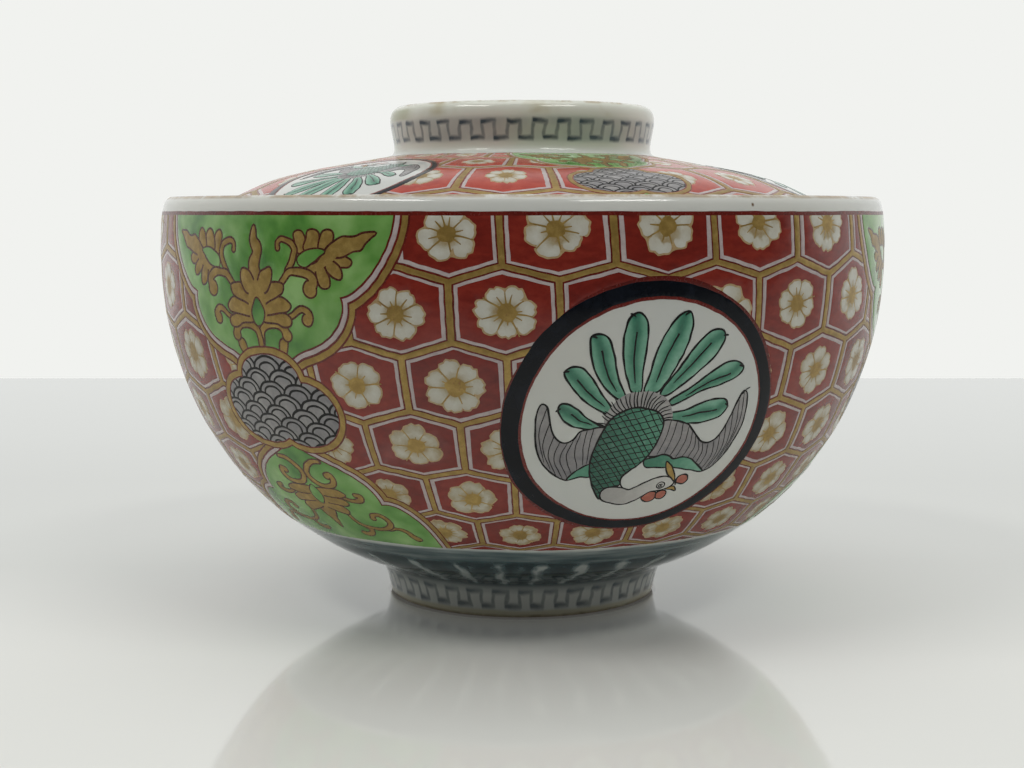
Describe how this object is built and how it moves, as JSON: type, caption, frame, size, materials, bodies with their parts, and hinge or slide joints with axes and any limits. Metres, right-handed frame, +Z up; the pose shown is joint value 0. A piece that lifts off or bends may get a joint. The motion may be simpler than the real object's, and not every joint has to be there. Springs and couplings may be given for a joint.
{
  "type": "lidded soup bowl",
  "caption": "Round porcelain soup bowl on a foot ring, with a domed lid whose ring grip lifts it out of the bowl's mouth; red hexagon enamel pattern outside.",
  "frame": {"origin": "centre of the foot ring, on the surface that the bowl stands on", "axes": "+Z up along the turning axis; -Y faces the viewer of the picture"},
  "size_m": [0.1156, 0.1156, 0.079],
  "materials": {
    "bowl_porcelain": "glossy glaze, red enamel ground over white porcelain",
    "lid_porcelain": "glossy glaze, red enamel ground over white porcelain"
  },
  "bodies": {
    "bowl": {"soup_bowl": "bowl_porcelain"},
    "lid": {"bowl_lid": "lid_porcelain"}
  },
  "joints": [
    {"name": "lid_lift", "type": "slide", "parent": "bowl", "child": "lid", "axis": [0, 0, 1], "range_m": [0, 0.08]}
  ]
}
